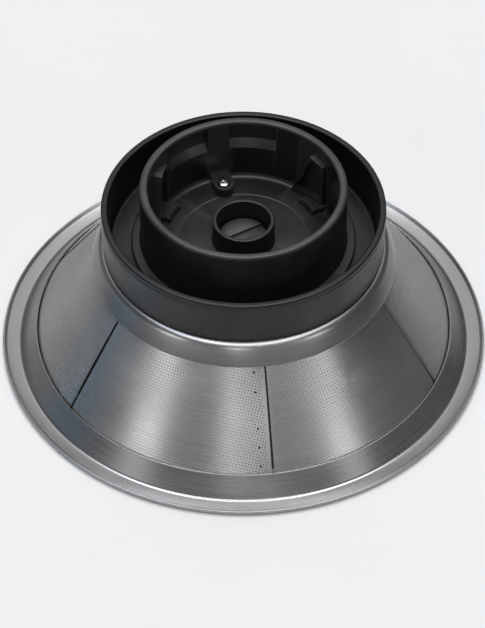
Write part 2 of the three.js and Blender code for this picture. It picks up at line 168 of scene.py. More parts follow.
def rounded(corners):
    """The closed line through (radius, height, rounding) corners, with an arc at each rounded corner."""
    line = []
    count = len(corners)
    for i, corner in enumerate(corners):
        here = Vector(corner[:2])
        rounding = corner[2] if len(corner) > 2 else 0
        if rounding == 0:
            line.append(tuple(here))
            continue
        back = (Vector(corners[i - 1][:2]) - here)
        ahead = (Vector(corners[(i + 1) % count][:2]) - here)
        half = back.angle(ahead) / 2
        reach_back = min(rounding / math.tan(half), 0.49 * back.length, 0.49 * ahead.length)
        radius = reach_back * math.tan(half)
        middle = here + (back.normalized() + ahead.normalized()).normalized() * radius / math.sin(half)
        start = here + back.normalized() * reach_back - middle
        end = here + ahead.normalized() * reach_back - middle
        turn = start.angle_signed(end)
        steps = max(2, round(abs(math.degrees(turn)) / ARC_STEP))
        for k in range(steps + 1):
            angle = -turn * k / steps
            x = start.x * math.cos(angle) - start.y * math.sin(angle)
            y = start.x * math.sin(angle) + start.y * math.cos(angle)
            line.append((middle.x + x, middle.y + y))
    return line


def mesh_from(name, vertices, faces):
    """A mesh from millimetre vertices, with coincident vertices merged and its faces turned outward."""
    mesh = bpy.data.meshes.new(name)
    lifted = np.asarray(vertices, float) + (0, 0, BEND_DROP)
    mesh.from_pydata((lifted * MM).tolist(), [], faces)
    tidy = bmesh.new()
    tidy.from_mesh(mesh)
    bmesh.ops.remove_doubles(tidy, verts=tidy.verts, dist=1e-7)
    bmesh.ops.recalc_face_normals(tidy, faces=tidy.faces)
    tidy.to_mesh(mesh)
    tidy.free()
    return mesh


def turned(name, corners, steps=ROUND_STEPS):
    """A closed solid of revolution about Z."""
    line = rounded(corners)
    count = len(line)
    vertices = []
    for k in range(steps):
        angle = 2 * math.pi * k / steps
        vertices += [(r * math.cos(angle), r * math.sin(angle), z) for r, z in line]
    faces = []
    for k in range(steps):
        here, ahead = k * count, ((k + 1) % steps) * count
        for j in range(count):
            nxt = (j + 1) % count
            if line[j][0] < 1e-6 and line[nxt][0] < 1e-6:
                continue
            faces.append((here + j, ahead + j, ahead + nxt, here + nxt))
    return mesh_from(name, vertices, faces)


def turned_sector(name, corners, start, end, steps=24):
    """A closed slice of a solid of revolution, from one azimuth to another."""
    line = rounded(corners)
    count = len(line)
    vertices = []
    for k in range(steps + 1):
        angle = math.radians(start + (end - start) * k / steps)
        vertices += [(r * math.cos(angle), r * math.sin(angle), z) for r, z in line]
    faces = [tuple(range(count)), tuple(range(steps * count, (steps + 1) * count))]
    for k in range(steps):
        here, ahead = k * count, (k + 1) * count
        for j in range(count):
            nxt = (j + 1) % count
            faces.append((here + j, ahead + j, ahead + nxt, here + nxt))
    return mesh_from(name, vertices, faces)


def prism(name, outline, place_near, place_far):
    """A closed prism. The near and the far placing function each place every outline point."""
    count = len(outline)
    vertices = [place_near(x, y) for x, y in outline] + [place_far(x, y) for x, y in outline]
    faces = [tuple(range(count)), tuple(range(count, 2 * count))]
    faces += [(j, (j + 1) % count, count + (j + 1) % count, count + j) for j in range(count)]
    return mesh_from(name, vertices, faces)


def upright_prism(name, outline, low, high, at_radius=0, azimuth=0):
    """A prism that stands on Z, its outline drawn on the +X side and then turned round the axis."""
    cos, sin = math.cos(math.radians(azimuth)), math.sin(math.radians(azimuth))

    def place(height):
        return lambda x, y: ((x + at_radius) * cos - y * sin, (x + at_radius) * sin + y * cos, height)

    return prism(name, outline, place(low), place(high))


def wall_prism(name, outline, inner, outer, azimuth):
    """A prism that stands out of a wall: its outline is (across, up), and it runs between two radii."""
    cos, sin = math.cos(math.radians(azimuth)), math.sin(math.radians(azimuth))

    def place(radius):
        return lambda across, up: (radius * cos - across * sin, radius * sin + across * cos, up)

    return prism(name, outline, place(inner), place(outer))


def arc_points(centre, radius, start, end, steps=16):
    angles = [math.radians(start + (end - start) * k / steps) for k in range(steps + 1)]
    return [(centre[0] + radius * math.cos(a), centre[1] + radius * math.sin(a)) for a in angles]


def rectangle(length, width):
    x, y = length / 2, width / 2
    return [(-x, -y), (x, -y), (x, y), (-x, y)]


def combine(base, others, operation):
    """Joins other meshes to a base mesh, or cuts them from it, and gives the new mesh."""
    body = bpy.data.objects.new("combining", base)
    bpy.context.scene.collection.objects.link(body)
    helpers = []
    for other in others:
        helper = bpy.data.objects.new("helper", other)
        bpy.context.scene.collection.objects.link(helper)
        helpers.append(helper)
        modifier = body.modifiers.new("join", "BOOLEAN")
        modifier.operation = operation
        modifier.solver = "EXACT"
        modifier.object = helper
    result = evaluated(body)
    for spare in [body] + helpers:
        bpy.data.objects.remove(spare)
    return result


def evaluated(body):
    graph = bpy.context.evaluated_depsgraph_get()
    return bpy.data.meshes.new_from_object(body.evaluated_get(graph))


def softened(mesh, width, angle=35):
    """The mesh with its sharp edges bevelled."""
    body = bpy.data.objects.new("bevelling", mesh)
    bpy.context.scene.collection.objects.link(body)
    bevel = body.modifiers.new("bevel", "BEVEL")
    bevel.width = width * MM
    bevel.segments = 2
    bevel.limit_method = "ANGLE"
    bevel.angle_limit = math.radians(angle)
    result = evaluated(body)
    bpy.data.objects.remove(body)
    return result


def joined(name, meshes):
    """One mesh from several closed ones."""
    work = bmesh.new()
    for mesh in meshes:
        work.from_mesh(mesh)
    result = bpy.data.meshes.new(name)
    work.to_mesh(result)
    work.free()
    return result


def show(name, mesh, material, replaces=(), body="basket"):
    """Adds a finished piece that rides on a body and stands for CAD nodes."""
    piece = bpy.data.objects.new(name, mesh)
    bpy.context.scene.collection.objects.link(piece)
    if not mesh.materials:
        mesh.materials.append(material)
    mesh.shade_smooth()
    mesh.set_sharp_from_angle(angle=math.radians(SMOOTH_ANGLE))
    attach(piece, body)
    if replaces:
        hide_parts(*replaces)
    return piece


# ---- Materials ----

# Pale grey painted as a highlight on the coupling ring's top face.
TOP_HIGHLIGHT_GREY = (0.075, 0.074, 0.076)


class Maker:
    """Adds nodes to a material's tree and joins them up."""

    def __init__(self, name):
        self.material = bpy.data.materials.new(name)
        self.material.use_nodes = True
        self.tree = self.material.node_tree
        self.shader = self.tree.nodes["Principled BSDF"]

    def add(self, kind, inputs=None, **settings):
        made = self.tree.nodes.new(kind)
        for key, value in settings.items():
            setattr(made, key, value)
        for key, value in (inputs or {}).items():
            self.feed(made.inputs[key], value)
        return made

    def feed(self, socket, value):
        if isinstance(value, bpy.types.NodeSocket):
            self.tree.links.new(value, socket)
        else:
            socket.default_value = value

    def math(self, operation, a, b=0.0):
        return self.add("ShaderNodeMath", {0: a, 1: b}, operation=operation).outputs[0]

    def place(self):
        return self.add("ShaderNodeTexCoord").outputs["Object"]

    def noise(self, vector, scale, detail=2.0, roughness=0.5):
        made = self.add("ShaderNodeTexNoise", {"Vector": vector, "Scale": scale, "Detail": detail,
                                                "Roughness": roughness})
        return made.outputs["Fac"]

    def spread(self, value, low, high, new_low, new_high):
        made = self.add("ShaderNodeMapRange", {"Value": value, "From Min": low, "From Max": high,
                                                "To Min": new_low, "To Max": new_high})
        return made.outputs["Result"]

    def mix(self, amount, first, second):
        made = self.add("ShaderNodeMix", data_type="RGBA")
        self.feed(made.inputs["Factor"], amount)
        self.feed(made.inputs["A"], first)
        self.feed(made.inputs["B"], second)
        return made.outputs["Result"]

    def tint(self, amount, dark, light):
        return self.mix(amount, (*dark, 1), (*light, 1))

    def bump(self, height, strength, distance):
        made = self.add("ShaderNodeBump", {"Height": height, "Strength": strength,
                                           "Distance": distance * MM})
        return made.outputs["Normal"]

    def round_axis(self, along, across):
        """Coordinates that follow a lathe: long arcs round Z, fine steps in radius and height."""
        parts = self.add("ShaderNodeSeparateXYZ", {"Vector": self.place()}).outputs
        azimuth = self.math("ARCTAN2", parts["Y"], parts["X"])
        radius = self.math("SQRT", self.math("ADD", self.math("MULTIPLY", parts["X"], parts["X"]),
                                             self.math("MULTIPLY", parts["Y"], parts["Y"])))
        made = self.add("ShaderNodeCombineXYZ", {"X": self.math("MULTIPLY", azimuth, along),
                                                  "Y": self.math("MULTIPLY", radius, across),
                                                  "Z": self.math("MULTIPLY", parts["Z"], across)})
        return made.outputs["Vector"]


def steel(name, dark, light, roughness, lines, anisotropy):
    """Satin stainless steel with turning lines round the axis, cloudy handling marks and specks."""
    make = Maker(name)
    turning = make.noise(make.round_axis(2.0, 2400), 1.0, detail=3)
    clouds = make.noise(make.place(), 22, detail=3)
    specks = make.noise(make.place(), 1500, detail=2)
    shade = make.math("ADD", make.math("MULTIPLY", turning, 0.55), make.math("MULTIPLY", clouds, 0.45))
    make.feed(make.shader.inputs["Base Color"], make.tint(make.spread(shade, 0.3, 0.7, 0, 1), dark, light))
    rough = make.spread(clouds, 0.3, 0.7, roughness - 0.05, roughness + 0.06)
    rough = make.math("ADD", rough, make.math("MULTIPLY", make.math("SUBTRACT", turning, 0.5), 0.16))
    make.feed(make.shader.inputs["Roughness"], rough)
    height = make.math("ADD", make.math("MULTIPLY", turning, lines), make.math("MULTIPLY", specks, 0.25))
    make.feed(make.shader.inputs["Normal"], make.bump(height, 0.35, 0.03))
    make.shader.inputs["Metallic"].default_value = 1.0
    make.shader.inputs["Anisotropic"].default_value = anisotropy
    make.shader.inputs["Anisotropic Rotation"].default_value = 0.25
    tangent = make.add("ShaderNodeTangent", direction_type="RADIAL", axis="Z")
    make.feed(make.shader.inputs["Tangent"], tangent.outputs["Tangent"])
    return make.material


def moulded_plastic(name, dark, light, roughness, grain, edge_highlight, highlight_top=None):
    """Black moulded plastic: fine grain, cloudy sheen, pale edges painted on as a highlight, and hairline
    scratches.

    Close below the given top height it is painted pale in patches all over: a painted highlight on the top
    face.
    """
    make = Maker(name)
    fine = make.noise(make.place(), 2600, detail=2)
    clouds = make.noise(make.place(), 60, detail=4)
    scratches = make.noise(make.round_axis(14.0, 900), 1.0, detail=4, roughness=0.7)
    edges = make.add("ShaderNodeNewGeometry").outputs["Pointiness"]
    # Paler colour on sharp edges, picked out by pointiness: a painted highlight.
    painted_edge_highlight = make.spread(edges, 0.51, 0.6, 0, edge_highlight)
    shade = make.math("ADD", make.math("MULTIPLY", clouds, 0.5), make.math("MULTIPLY", fine, 0.3))
    shade = make.math("ADD", shade, painted_edge_highlight)
    colour = make.tint(make.spread(shade, 0.25, 0.9, 0, 1), dark, light)
    # Paler in patches just below the given top height: a painted highlight on the top face.
    if highlight_top is not None:
        height = make.add("ShaderNodeSeparateXYZ", {"Vector": make.place()}).outputs["Z"]
        low, high = (highlight_top + BEND_DROP - 0.5) * MM, (highlight_top + BEND_DROP) * MM
        highlight_patches = make.spread(clouds, 0.3, 0.7, 0.5, 1)
        painted_top_highlight = make.math("MULTIPLY", make.spread(height, low, high, 0, 1), highlight_patches)
        colour = make.mix(painted_top_highlight, colour, (*TOP_HIGHLIGHT_GREY, 1))
    make.feed(make.shader.inputs["Base Color"], colour)
    rough = make.spread(clouds, 0.3, 0.7, roughness - 0.06, roughness + 0.08)
    rough = make.math("ADD", rough, make.math("MULTIPLY", make.math("SUBTRACT", scratches, 0.5), 0.18))
    make.feed(make.shader.inputs["Roughness"], rough)
    height = make.math("ADD", make.math("MULTIPLY", fine, grain), make.math("MULTIPLY", scratches, 0.12))
    make.feed(make.shader.inputs["Normal"], make.bump(height, 0.3, 0.04))
    make.shader.inputs["IOR"].default_value = 1.5
    return make.material


def bright_steel():
    """Bright plated steel of the screws, with a faint brushing and dull spots."""
    make = Maker("bright_steel")
    spots = make.noise(make.place(), 900, detail=3)
    make.feed(make.shader.inputs["Base Color"], make.tint(spots, (0.55, 0.55, 0.56), (0.9, 0.9, 0.91)))
    make.feed(make.shader.inputs["Roughness"], make.spread(spots, 0.3, 0.7, 0.14, 0.3))
    make.feed(make.shader.inputs["Normal"], make.bump(spots, 0.2, 0.02))
    make.shader.inputs["Metallic"].default_value = 1.0
    return make.material


def seam_shade_and_weld_tint():
    """Near-black sheet laid in the seam gaps as painted shade, and the dark weld tint round the spot welds.
    """
    make = Maker("seam_shade_and_weld_tint")
    seam_mottle = make.noise(make.place(), 1800, detail=4)
    colour = make.tint(seam_mottle, (0.006, 0.006, 0.007), (0.035, 0.032, 0.03))
    make.feed(make.shader.inputs["Base Color"], colour)
    make.feed(make.shader.inputs["Roughness"], make.spread(seam_mottle, 0.3, 0.7, 0.55, 0.85))
    make.feed(make.shader.inputs["Normal"], make.bump(seam_mottle, 0.5, 0.05))
    return make.material


def seal_rubber():
    """Soft grey rubber with a dusty bloom."""
    make = Maker("seal_rubber")
    bloom = make.noise(make.place(), 700, detail=4)
    make.feed(make.shader.inputs["Base Color"], make.tint(bloom, (0.07, 0.07, 0.075), (0.14, 0.14, 0.145)))
    make.feed(make.shader.inputs["Roughness"], make.spread(bloom, 0.3, 0.7, 0.7, 0.9))
    make.feed(make.shader.inputs["Normal"], make.bump(bloom, 0.4, 0.05))
    return make.material


SPUN_STEEL = steel("spun_steel", (0.36, 0.355, 0.36), (0.46, 0.455, 0.46), 0.27, 0.7, 0.5)
MESH_STEEL = steel("mesh_steel", (0.42, 0.42, 0.425), (0.52, 0.52, 0.525), 0.3, 0.6, 0.35)
HUB_PLASTIC = moulded_plastic(
    "hub_plastic", (0.004, 0.004, 0.0045), (0.014, 0.0135, 0.0145), 0.36, 0.6, 0.2)
# The coupling's and the lock's plastics are paler than the hub's: partly painted light, standing in for the
# brighter light inside the cavity.
COUPLING_PLASTIC = moulded_plastic(
    "coupling_plastic", (0.008, 0.008, 0.0085), (0.026, 0.0255, 0.0265), 0.34, 0.5, 0.9, RING_TOP)
LOCK_PLASTIC = moulded_plastic("lock_plastic", (0.03, 0.03, 0.031), (0.09, 0.09, 0.092), 0.36, 0.6, 0.4)
BRIGHT_STEEL = bright_steel()
SEAM_SHADE_AND_WELD_TINT = seam_shade_and_weld_tint()
SEAL_RUBBER = seal_rubber()


# ---- Rim ----

def flange_height(radius):
    """Height of the dished flange's upper face."""
    return BEND[1] + (radius - BEND[0]) * FLANGE_SLOPE


def rim_ring():
    """Dished flange with a turned-up, folded-back lip, and the conical band that overlaps the mesh."""
    underside = flange_height(HEM_RADIUS) - RIM_SHEET
    mesh = turned("rim_ring", [
        (BEND[0] - 1, -BEND_DROP, 0.9),
        (BEND[0] + 0.9, -BEND_DROP, 0.9),
        (FLANGE_EDGE[0], FLANGE_EDGE[1] - RIM_SHEET, 0),
        (FLANGE_EDGE[0], FLANGE_EDGE[1] - RIM_SHEET - 0.1, 0),
        (HEM_RADIUS, underside - 0.1, 0.1),
        (HEM_RADIUS, underside - RIM_SHEET, 0.2),
        (FLANGE_EDGE[0] + 0.3, FLANGE_EDGE[1] - 2 * RIM_SHEET, 0.5),
        (RIM_RADIUS, LIP_SIDE[0], 0.4),
        (RIM_RADIUS, LIP_SIDE[1], 0.35),
        (*LIP_CREST, 0.2),
        (*FLANGE_EDGE, 0.5),
        (*BEND, 1.7),
        (*BAND_EDGE, 0.12),
        (BAND_EDGE[0] - 0.85, BAND_EDGE[1] - 0.35, 0.25),
        (BAND_EDGE[0] - 0.15, BAND_EDGE[1] - 1.2, 0),
    ])
    show("rim_ring_spun", mesh, SPUN_STEEL, ["rim_ring"])


def rim_inner_ring():
    inset = MESH_WALL + 0.5
    wall = 0.7
    foot = (MESH_FOOT[0] + 1 - inset, MESH_FOOT[1] - 1.2)
    knee = (MESH_KNEE[0] - inset, MESH_KNEE[1])
    crown = (cone_radius(9.5) - MESH_WALL - 0.4, 9.5)
    mesh = turned("rim_inner_ring", [
        (*foot, 0.2),
        (*knee, 1.5),
        (*crown, 0.2),
        (crown[0] - wall, crown[1], 0.2),
        (knee[0] - wall, knee[1], 1.5),
        (foot[0] - wall, foot[1], 0.2),
    ])
    show("rim_inner_ring_spun", mesh, SPUN_STEEL, ["rim_inner_ring"])


# ---- Mesh panels ----

SLANT = math.hypot(MESH_KNEE[0] - MESH_TOP[0], MESH_TOP[1] - MESH_KNEE[1])
SIN_CONE = (MESH_KNEE[0] - MESH_TOP[0]) / SLANT
COS_CONE = (MESH_TOP[1] - MESH_KNEE[1]) / SLANT
FAR_TOP = MESH_TOP[0] / SIN_CONE          # distances down the flattened cone from its point
FAR_KNEE = MESH_KNEE[0] / SIN_CONE
FOOT_LENGTH = math.hypot(MESH_FOOT[0] - MESH_KNEE[0], MESH_KNEE[1] - MESH_FOOT[1])
FAR_FOOT = FAR_KNEE + FOOT_LENGTH


def cone_radius(height):
    return MESH_KNEE[0] - (height - MESH_KNEE[1]) * SIN_CONE / COS_CONE


def far_at(height):
    return cone_radius(height) / SIN_CONE


def on_cone(azimuth, far, inset=0.0):
    """Points on the mesh's outer face, or inset from it, for azimuths (radians) and distances."""
    beyond = np.clip(far - FAR_KNEE, 0, None) / FOOT_LENGTH
    radius = np.minimum(far, FAR_KNEE) * SIN_CONE + beyond * (MESH_FOOT[0] - MESH_KNEE[0]) - inset
    height = MESH_KNEE[1] + (FAR_KNEE - np.minimum(far, FAR_KNEE)) * COS_CONE
    height = height - beyond * (MESH_KNEE[1] - MESH_FOOT[1])
    return np.stack([radius * np.cos(azimuth), radius * np.sin(azimuth), height], -1)


def edge_lift(azimuth, far, end):
    """How far a panel's end springs out of the cone, held down under the collar and the band."""
    along = np.clip((azimuth - end) / math.radians(EDGE_LIFT_SPAN) + 1, 0, 1)
    held = np.clip((far - far_at(COLLAR_BOTTOM)) / (far_at(BAND_EDGE[1]) - far_at(COLLAR_BOTTOM)), 0, 1)
    return EDGE_LIFT * along ** 2 * np.sin(math.pi * held) ** 0.5


def pierced_sheet(start, end, cut_first_holes):
    """Vertices and faces of one pierced panel: a flat square grid, rolled round the cone."""
    half = math.radians(end - start) / 2 * SIN_CONE
    width = FAR_FOOT * math.sin(half)
    columns = np.arange(-math.ceil(width / PITCH), math.ceil(width / PITCH) + 1) * PITCH
    first_row = math.floor(FAR_TOP * math.cos(half) / PITCH)
    rows = np.arange(first_row, math.ceil(FAR_FOOT / PITCH) + 1) * PITCH
    u_lines = np.sort(np.concatenate([columns - HOLE / 2, columns + HOLE / 2]))
    v_lines = np.sort(np.concatenate([rows - HOLE / 2, rows + HOLE / 2]))
    u, v = np.meshgrid(u_lines, v_lines, indexing="ij")
    far, turn = np.hypot(u, v), np.arctan2(u, v)
    outside_start = turn < -half + SEAM_GAP / far
    inside = (turn <= half) & (far >= FAR_TOP) & (far <= FAR_FOOT)
    far = np.clip(far, FAR_TOP, FAR_FOOT)
    turn = np.clip(turn, -half + SEAM_GAP / far, half)

    def corners(grid):
        return np.stack([grid[:-1, :-1], grid[1:, :-1], grid[1:, 1:], grid[:-1, 1:]])

    across, down = corners(turn * far), corners(far)
    area = (across[2] - across[0]) * (down[3] - down[1]) - (across[3] - across[1]) * (down[2] - down[0])
    area = np.abs(area)
    start_margin = 0.0 if cut_first_holes else PLAIN_MARGIN
    room_start = corners((turn + half) * far).min(0) >= SEAM_GAP + start_margin
    room_end = corners((half - turn) * far).min(0) >= PLAIN_MARGIN
    room_down = (down.max(0) <= FAR_KNEE - 0.4) & (down.min(0) >= FAR_TOP + 2)
    whole = corners(inside).all(0) & room_end & room_down
    if cut_first_holes:
        whole &= ~corners(outside_start).all(0)
    else:
        whole &= room_start
    is_hole = np.zeros(area.shape, bool)
    is_hole[::2, ::2] = True
    kept = (area > 1e-4) & ~(is_hole & whole)

    azimuth = math.radians((start + end) / 2) + turn / SIN_CONE
    lift = edge_lift(azimuth, far, math.radians(end))
    outer = on_cone(azimuth, far, -lift).reshape(-1, 3)
    inner = on_cone(azimuth, far, MESH_WALL - lift).reshape(-1, 3)
    index = np.arange(u.size).reshape(u.shape)
    back = u.size
    quads = np.stack([index[:-1, :-1], index[1:, :-1], index[1:, 1:], index[:-1, 1:]], -1)
    front = quads[kept]
    padded = np.pad(kept, 1)
    across_change = padded[1:, 1:-1] != padded[:-1, 1:-1]
    along_change = padded[1:-1, 1:] != padded[1:-1, :-1]
    a, b = index[:, :-1][across_change], index[:, 1:][across_change]
    c, d = index[:-1, :][along_change], index[1:, :][along_change]
    across_walls = np.stack([a, b, b + back, a + back], -1)
    along_walls = np.stack([c, d, d + back, c + back], -1)
    faces = np.concatenate([front, front[:, ::-1] + back, across_walls, along_walls])
    return np.concatenate([outer, inner]), faces.tolist()


def cone_patch(name, start, end, start_inset, wall, heights=LAP_HEIGHTS, steps=8):
    """A plain closed strip of sheet on the cone, between two heights."""
    far_low, far_high = far_at(heights[0]), far_at(heights[1])
    azimuths = np.radians(np.linspace(start, end, steps + 1))
    azimuth, far = np.meshgrid(azimuths, np.linspace(far_high, far_low, 13), indexing="ij")
    outer = on_cone(azimuth, far, start_inset).reshape(-1, 3)
    inner = on_cone(azimuth, far, start_inset + wall).reshape(-1, 3)
    index = np.arange(azimuth.size).reshape(azimuth.shape)
    back = azimuth.size
    quads = np.stack([index[:-1, :-1], index[1:, :-1], index[1:, 1:], index[:-1, 1:]], -1).reshape(-1, 4)
    rim = np.concatenate([index[:, 0], index[-1, 1:], index[::-1, -1][1:], index[0, ::-1][1:-1]])
    ahead = np.roll(rim, -1)
    walls = np.stack([rim, ahead, ahead + back, rim + back], -1)
    faces = np.concatenate([quads, quads[:, ::-1] + back, walls])
    return mesh_from(name, np.concatenate([outer, inner]), faces.tolist())


def mesh_panel(index):
    start = SEAMS[index]
    end = SEAMS[index + 1] if index + 1 < len(SEAMS) else SEAMS[0] + 360
    vertices, faces = pierced_sheet(start, end, index == WELDED_SEAM)
    sheet = mesh_from("pierced", vertices, faces)
    tongue_inset = MESH_WALL + 0.35
    gap_end = start + 0.9
    tongue = cone_patch("tongue", start - LAP, start, tongue_inset, MESH_WALL)
    joggle = cone_patch("joggle", gap_end - 0.2, gap_end + 0.9, 0.12, tongue_inset + MESH_WALL - 0.12)
    for part in (sheet, tongue, joggle):
        part.materials.append(MESH_STEEL)
    name = "mesh_panel_%d" % (index + 1)
    show(name + "_pierced", joined(name, [sheet, tongue, joggle]), MESH_STEEL, [name])
    # A thin near-black strip laid in each seam's gap: painted shade.
    valley = cone_patch("valley", start, gap_end - 0.2, MESH_WALL + 0.1, 0.25, VALLEY_HEIGHTS)
    show("seam_painted_shade_%d" % (index + 1), valley, SEAM_SHADE_AND_WELD_TINT)


def spot_weld(azimuth, far, radius, lift):
    """A shallow pressed spot: a dark dished middle inside a raised ring."""
    rings = [(0, -0.02), (0.45, -0.02), (0.62, 0.05), (0.85, 0.05), (1.0, 0.0)]
    steps = 20
    centre = on_cone(np.array(azimuth), np.array(far), -lift)
    outward = np.array([math.cos(azimuth) * COS_CONE, math.sin(azimuth) * COS_CONE, SIN_CONE])
    across = np.array([-math.sin(azimuth), math.cos(azimuth), 0])
    down = np.cross(outward, across)
    vertices = []
    for share, height in rings:
        for k in range(steps):
            angle = 2 * math.pi * k / steps
            offset = across * math.cos(angle) + down * math.sin(angle)
            vertices.append(centre + offset * radius * share + outward * (height + 0.03))
    faces = []
    for j in range(len(rings) - 1):
        for k in range(steps):
            nxt = (k + 1) % steps
            faces.append((j * steps + k, j * steps + nxt, (j + 1) * steps + nxt, (j + 1) * steps + k))
    base = len(vertices)
    for k in range(steps):
        vertices.append(np.array(vertices[(len(rings) - 1) * steps + k]) - outward * 0.3)
    last = (len(rings) - 1) * steps
    faces += [(last + k, last + (k + 1) % steps, base + (k + 1) % steps, base + k) for k in range(steps)]
    faces.append(tuple(base + k for k in range(steps)))
    return mesh_from("spot", vertices, faces)


def spot_welds():
    """The row of spots along the welded lap."""
    seam = SEAMS[WELDED_SEAM]
    spots = []
    for height in WELD_HEIGHTS:
        far = far_at(height)
        azimuth = math.radians(seam) - WELD_INSET / cone_radius(height)
        lift = float(edge_lift(np.array(azimuth), np.array(far), math.radians(seam)))
        spots.append(spot_weld(azimuth, far, WELD_RADIUS, lift))
    show("lap_spot_welds", joined("spots", spots), SEAM_SHADE_AND_WELD_TINT)


# ---- Base pan and grater ----

def round_holes(low, high, radius):
    circle = arc_points((0, 0), radius, 0, 345, 23)
    return [upright_prism("hole", circle, low, high, SCREW_AT, PAIR_CENTRE + turn) for turn in THIRDS]


def base_pan():
    underside = PAN_TOP - PAN_SHEET
    shell = turned("base_pan", [
        (COLLAR_RADIUS, COLLAR_BOTTOM, 0.25),
        (56.14, 48.61, 3.3),
        (55.21, 49.57, 3.3),
        (53.97, SHOULDER_TOP, 3.3),
        (52.2, SHOULDER_TOP, 0.5),
        (51.2, PAN_TOP, 0.5),
        (CENTRE_HOLE, PAN_TOP, 0.2),
        (CENTRE_HOLE, underside, 0.2),
        (51.5, underside, 0.6),
        (52.5, SHOULDER_TOP - PAN_SHEET, 0.5),
        (53.3, SHOULDER_TOP - PAN_SHEET, 1),
        (54.9, 48.6, 1),
        (COLLAR_RADIUS - 0.9, COLLAR_BOTTOM, 0.25),
    ])
    mesh = combine(shell, round_holes(underside - 1, PAN_TOP + 1, SCREW_HOLE), "DIFFERENCE")
    show("base_pan_pressed", mesh, SPUN_STEEL, ["base_pan"])


def grater_tooth(radius, azimuth):
    """A pierced and raised tooth: a half cone that opens against the spin, tip down."""
    length, half_width, height = 2.6, 0.95, 1.45
    steps = 8
    inner, outer = [], []
    for k in range(steps + 1):
        angle = math.pi * k / steps
        x, z = half_width * math.cos(angle), height * math.sin(angle)
        outer.append((x, z))
        inner.append((0.72 * x, 0.8 * z))
    cos, sin = math.cos(math.radians(azimuth)), math.sin(math.radians(azimuth))

    def place(along, across, drop):
        x, y = radius + across, along
        return (x * cos - y * sin, x * sin + y * cos, GRATER_BOTTOM + 0.05 - drop)

    mouth = [place(0, x, z) for x, z in outer]
    lip = [place(0, x, z) for x, z in inner]
    throat = [place(0.6 * length, 0.5 * x, 0.5 * z) for x, z in inner]
    tail = place(length, 0, 0)
    count = steps + 1
    vertices = mouth + lip + throat + [tail]
    faces = []
    for k in range(steps):
        faces.append((k, k + 1, count + k + 1, count + k))
        faces.append((count + k, count + k + 1, 2 * count + k + 1, 2 * count + k))
        faces.append((k + 1, k, 3 * count))
    faces.append(tuple(range(2 * count, 3 * count)))
    faces.append((0, count, 2 * count, 3 * count - 1, 2 * count - 1, count - 1, 3 * count))
    return mesh_from("tooth", vertices, faces)


def grater_disc():
    edge_bottom = bottom("grater_disc")
    edge_radius = cone_radius(edge_bottom) - MESH_WALL - 0.4
    shell = turned("grater_disc", [
        (CENTRE_HOLE, GRATER_BOTTOM, 0.2),
        (51.4, GRATER_BOTTOM, 0.6),
        (edge_radius - 0.9, edge_bottom, 0.2),
        (edge_radius, edge_bottom, 0.2),
        (cone_radius(MESH_TOP[1]) - MESH_WALL - 0.45, MESH_TOP[1], 1),
        (51.8, GRATER_TOP, 0.5),
        (CENTRE_HOLE, GRATER_TOP, 0.2),
    ])
    disc = combine(shell, round_holes(GRATER_BOTTOM - 1, GRATER_TOP + 1, SCREW_HOLE), "DIFFERENCE")
    teeth = []
    for row, radius in enumerate((17, 20.5, 24, 32.5, 36, 39.5, 43, 46.5)):
        count = round(2 * math.pi * radius / 6.2)
        for k in range(count):
            azimuth = (k + 0.37 * row) * 360 / count
            nearest = min(abs((azimuth - PAIR_CENTRE - turn + 180) % 360 - 180) for turn in THIRDS)
            if abs(radius - SCREW_AT) > 4.6 or nearest > 9:
                teeth.append(grater_tooth(radius, azimuth))
    show("grater_disc_pressed", joined("grater", [disc] + teeth), SPUN_STEEL, ["grater_disc"])


# ---- Hub ----

def hub_skirt():
    lip_inner = SKIRT_RADIUS - SKIRT_WALL
    bead_low, bead_high = SKIRT_TOP - 2.6, SKIRT_TOP - 1.9
    mesh = turned("hub_skirt", [
        (RING_OUTER + 0.3, HUB_BOTTOM, 0.2),
        (50.9, HUB_BOTTOM, 0.3),
        (51.9, SKIRT_BOTTOM, 0.3),
        (SKIRT_RADIUS - 0.2, SKIRT_BOTTOM, 0.35),
        (SKIRT_RADIUS - 0.05, bead_low, 0),
        (SKIRT_RADIUS - 0.22, bead_low + 0.12, 0.05),
        (SKIRT_RADIUS - 0.22, bead_high - 0.12, 0.05),
        (SKIRT_RADIUS, bead_high, 0),
        (SKIRT_RADIUS, SKIRT_TOP, 0.75),
        (lip_inner, SKIRT_TOP, 0.7),
        (lip_inner - 0.25, TROUGH_FLOOR, 1.6),
        (RING_OUTER + 0.3, TROUGH_FLOOR, 0.2),
    ])
    show("hub_skirt_moulded", mesh, HUB_PLASTIC, ["hub_skirt"])


def coupling_shell():
    flange_bottom = TROUGH_FLOOR + 0.3
    return turned("coupling", [
        (4.3, HUB_BOTTOM, 0.2),
        (RING_OUTER, HUB_BOTTOM, 0.3),
        (RING_OUTER, flange_bottom, 0),
        (FLANGE_RADIUS, flange_bottom, 0.2),
        (FLANGE_RADIUS, FLANGE_TOP, 0.6),
        (RING_OUTER, FLANGE_TOP, 0.8),
        (RING_OUTER, RING_TOP, 1.2),
        (RING_INNER, RING_TOP, 1.2),
        (RING_INNER, CAVITY_FLOOR, 2.6),
        (25.2, CAVITY_FLOOR, 0.1),
        (24.6, CAVITY_FLOOR - 0.15, 0.1),
        (CUP_OUTER, CAVITY_FLOOR - 0.15, 0.5),
        (CUP_OUTER, CUP_TOP, 0.55),
        (CUP_INNER, CUP_TOP, 0.5),
        (CUP_INNER, CUP_FLOOR, 0.4),
        (4.3, CUP_FLOOR, 0.2),
    ], 180)


